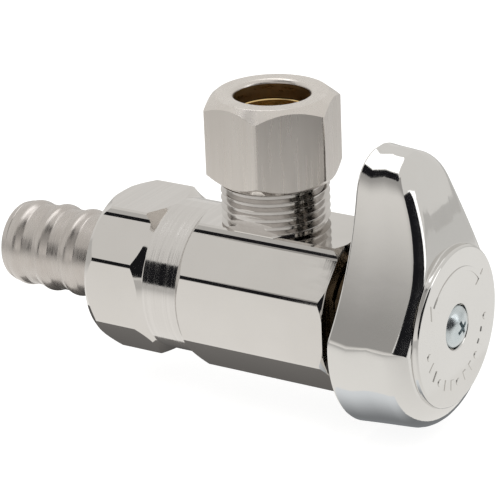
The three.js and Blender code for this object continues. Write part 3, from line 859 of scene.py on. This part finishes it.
def make_bonnet():
    front = -14.6
    profile = [(3.6, front + 0.25), (3.85, front), (7.85, front), (8.1, front + 0.1),
               (8.3, front + 0.35), (8.3, -12.95), (8.1, -12.75), (7.4, -12.75)]
    pitch = 1.0
    for k in range(3):
        start = -12.3 + k * pitch
        profile += [(7.4, start), (6.95, start + 0.4), (6.95, start + 0.5), (7.4, start + 0.9)]
    profile += [(7.4, -9.25), (7.2, -9.15), (6.5, -9.15), (6.5, -8.75), (5.75, -8.75),
                (5.75, -7.45), (6.5, -7.45), (6.5, -7.1), (5.3, -7.1), (5.3, -9.0), (3.6, -9.0),
                (3.6, front + 0.25)]
    bonnet = turned("bonnet", profile, steps=96)
    for side in (-1, 1):
        low = (min(7.3 * side, 10 * side), front - 1, -10)
        high = (max(7.3 * side, 10 * side), -12.75, 10)
        combine(bonnet, box_piece("flat", low, high), "DIFFERENCE")
    inner, outer, half = 6.6, 8.1, math.radians(12)
    arc = [(math.pi - half + 2 * half * k / 8) for k in range(9)]
    outline = [(outer * math.sin(a), outer * math.cos(a)) for a in arc]
    outline += [(inner * math.sin(a), inner * math.cos(a)) for a in reversed(arc)]
    combine(bonnet, prism("stop", outline, BONNET_LOW.y, front + 0.4), "UNION")
    # The bonnet gets the brass darkened with painted shade for the gap it sits in.
    finish_piece(bonnet, "bonnet_gland", "body", ["bonnet"], [BONNET_SHADED_BRASS], 30)


# Nodes that keep their CAD shape.

def dress_nodes():
    finishes = {
        "inlet_seat": ("seat", SEAT_PLASTIC),
        "outlet_seat": ("seat", SEAT_PLASTIC),
        "front_seat": ("seat", SEAT_PLASTIC),
        "thrust_washer": ("seat", SEAT_PLASTIC),
        "ball": ("ball_chrome", BODY_CHROME),
        "stem": ("brass", STEM_BRASS),
        "stem_o_ring_inner": ("rubber", RING_RUBBER),
        "stem_o_ring_outer": ("rubber", RING_RUBBER),
        "bonnet_o_ring": ("rubber", RING_RUBBER),
    }
    for name, (slot, material) in finishes.items():
        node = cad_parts[name]
        node.data.materials.clear()
        node.data.materials.append(material)


# Camera, floor and light.

AZIMUTH, ELEVATION, ROLL = (math.radians(a) for a in (-57.42, 21.855, 2.378))
DISTANCE = 370 * MM
LENS = 202.9
AIM = (3.846 * MM, -5.378 * MM)  # how far the crossing of the axes stands off the view's middle


def make_camera():
    back = Vector((math.sin(AZIMUTH) * math.cos(ELEVATION),
                   -math.cos(AZIMUTH) * math.cos(ELEVATION), math.sin(ELEVATION)))
    level = Vector((0, 0, 1)).cross(back).normalized()
    upright = back.cross(level)
    right = math.cos(ROLL) * level - math.sin(ROLL) * upright
    up = math.sin(ROLL) * level + math.cos(ROLL) * upright
    data = bpy.data.cameras.new("view_camera")
    data.lens = LENS
    data.sensor_width = 36
    data.clip_start = 0.01
    data.clip_end = 50
    camera = bpy.data.objects.new("view_camera", data)
    bpy.context.scene.collection.objects.link(camera)
    place = CROSSING - AIM[0] * right - AIM[1] * up + DISTANCE * back
    turn = Matrix((right, up, back)).transposed().to_4x4()
    camera.matrix_world = Matrix.Translation(place) @ turn
    bpy.context.scene.camera = camera


def glow_material(name, color, strength):
    material = bpy.data.materials.new(name)
    material.use_nodes = True
    tree = material.node_tree
    tree.nodes.clear()
    glow = tree.nodes.new("ShaderNodeEmission")
    glow.inputs["Color"].default_value = (*color, 1)
    glow.inputs["Strength"].default_value = strength
    output = tree.nodes.new("ShaderNodeOutputMaterial")
    tree.links.new(glow.outputs["Emission"], output.inputs["Surface"])
    return material


def fade(material, axis, start, end, low, high):
    """Makes a card's glow change along X, Y or Z, or with the distance from the origin."""
    tree = material.node_tree
    glow = next(n for n in tree.nodes if n.type == "EMISSION")
    place = tree.nodes.new("ShaderNodeTexCoord").outputs["Object"]
    if axis == "distance":
        measure = tree.nodes.new("ShaderNodeVectorMath")
        measure.operation = "LENGTH"
        tree.links.new(place, measure.inputs[0])
        along = measure.outputs["Value"]
    else:
        measure = tree.nodes.new("ShaderNodeSeparateXYZ")
        tree.links.new(place, measure.inputs[0])
        along = measure.outputs[axis]
    ramp = tree.nodes.new("ShaderNodeMapRange")
    ramp.interpolation_type = "SMOOTHSTEP"
    for key, value in zip(("From Min", "From Max", "To Min", "To Max"), (start, end, low, high)):
        ramp.inputs[key].default_value = value
    tree.links.new(along, ramp.inputs["Value"])
    tree.links.new(ramp.outputs["Result"], glow.inputs["Strength"])


FLOOR = cad_bounds[0][2] - 0.0015


def make_floor():
    """A white paper floor, whose reflection in the chrome falls off with distance."""
    deselect()
    bpy.ops.mesh.primitive_plane_add(size=6, location=(0, 0, FLOOR))
    floor = bpy.context.object
    floor.name = "floor"
    paper = bpy.data.materials.new("floor_paper")
    paper.use_nodes = True
    shader = paper.node_tree.nodes["Principled BSDF"]
    shader.inputs["Base Color"].default_value = (0.35, 0.35, 0.35, 1)
    shader.inputs["Roughness"].default_value = 0.9
    shader.inputs["Specular IOR Level"].default_value = 0
    shader.inputs["Emission Color"].default_value = (1, 1, 1, 1)
    shader.inputs["Emission Strength"].default_value = 0.85
    floor.data.materials.append(paper)
    floor.visible_glossy = False
    corners = [(-3, -3, FLOOR), (3, -3, FLOOR), (3, 3, FLOOR), (-3, 3, FLOOR)]
    sheen = glow_material("floor_sheen", (1, 0.985, 0.955), 1)
    fade(sheen, "distance", 0.035, 0.13, 1.0, 0.60)
    reflector("floor_sheen", corners, sheen)
    front = [(0.0, -0.3), (0.3, -0.3), (0.3, -0.06), (0.0, -0.06)]
    front_sheen = glow_material("front_sheen", (1, 0.99, 0.965), 1)
    fade(front_sheen, "distance", 0.10, 0.15, 0.96, 0.70)
    reflector("front_sheen", [(x, y, FLOOR + 0.0002) for x, y in front], front_sheen)
    under = [(-0.006, -0.046), (0.03, -0.046), (0.03, 0.02), (-0.006, 0.02)]
    shade = glow_material("under_shade", (1, 0.96, 0.92), 0.22)
    fade(shade, "X", -0.010, 0.004, 0.24, 0.10)
    reflector("under_shade", [(x, y, FLOOR + 0.0004) for x, y in under], shade)
    lever_under = [(-0.017, -0.0495), (0.014, -0.0495), (0.014, -0.036), (-0.017, -0.036)]
    lever_shade = glow_material("lever_shade", (0.92, 0.96, 1), 0.22)
    fade(lever_shade, "X", -0.017, -0.006, 0.95, 0.24)
    reflector("lever_shade", [(x, y, FLOOR + 0.0006) for x, y in lever_under], lever_shade)


def make_world():
    world = bpy.data.worlds.new("studio")
    bpy.context.scene.world = world
    world.use_nodes = True
    background = world.node_tree.nodes["Background"]
    background.inputs["Color"].default_value = (1.0, 0.985, 0.955, 1)
    background.inputs["Strength"].default_value = 0.82


def reflector(name, corners, material):
    """A card with the given corners that only reflections see."""
    deselect()
    bpy.ops.mesh.primitive_plane_add(size=1)
    card = bpy.context.object
    card.name = name
    order = (0, 1, 3, 2)
    for index, corner in zip(order, corners):
        card.data.vertices[index].co = corner
    card.data.materials.append(material)
    card.visible_camera = False
    card.visible_diffuse = False
    card.visible_shadow = False
    return card


def card(name, corners, color, strength=1):
    reflector(name, corners, glow_material(name, color, strength))


def seen_from(spot, sights):
    """Corners given as compass bearing from +X towards +Y, elevation and distance from a spot."""
    corners = []
    for bearing, elevation, distance in sights:
        a, e = math.radians(bearing), math.radians(elevation)
        way = Vector((math.cos(e) * math.cos(a), math.cos(e) * math.sin(a), math.sin(e)))
        corners.append(Vector(spot) + distance * way)
    return corners


def make_studio():
    collar, wing, tip = (-0.008, -0.012, 0.004), (-0.008, -0.045, 0.008), (-0.002, -0.043, 0.0215)
    black = (0.012, 0.012, 0.014)
    card("left_gap", seen_from(collar, [
        (156, -2, 0.3), (139, -2, 0.3), (139, 27, 0.32), (156, 27, 0.32)]), black)
    left = glow_material("left_card", (1, 0.975, 0.94), 1)
    fade(left, "Z", -0.01, 0.24, 0.90, 0.40)
    reflector("left_card", seen_from(wing, [
        (206, -3, 0.34), (150, -3, 0.34), (132, 45, 0.46), (206, 72, 0.6)]), left)
    card("shoulder_gap", seen_from(tip, [
        (152, 38, 0.12), (117, 47, 0.12), (108, 62, 0.12), (165, 60, 0.12)]), black)
    card("top_softbox", seen_from(tip, [
        (112, 56, 0.5), (30, 40, 0.5), (20, 62, 0.5), (130, 71, 0.5)]), (1, 1, 1), 1.9)
    card("front_gap", seen_from(wing, [
        (203, 4, 0.11), (312, -20, 0.2), (262, 38, 0.16), (203, 30, 0.12)]), black)
    card("front_softbox", seen_from(wing, [
        (250, -16, 0.26), (318, -24, 0.26), (300, 22, 0.26), (250, 40, 0.26)]), (1, 1, 1), 1.7)


def make_light(name, direction, distance, size, power, color=(1, 0.99, 0.97)):
    data = bpy.data.lights.new(name, "AREA")
    data.shape = "RECTANGLE"
    data.size, data.size_y = size
    data.energy = power
    data.color = color
    light = bpy.data.objects.new(name, data)
    bpy.context.scene.collection.objects.link(light)
    toward = Vector(direction).normalized()
    light.location = Vector((0, -0.02, 0)) + toward * distance
    light.rotation_mode = "QUATERNION"
    light.rotation_quaternion = toward.to_track_quat("Z", "Y")
    light.visible_glossy = False
    return light


bpy.context.scene.view_settings.view_transform = "Standard"
make_camera()
make_floor()
make_world()
make_studio()
make_light("overhead_softbox", (-0.3, -0.2, 1), 0.9, (0.7, 0.7), 3)

make_body()
make_nut()
make_sleeve()
make_lever()
make_screw()
make_bonnet()
dress_nodes()
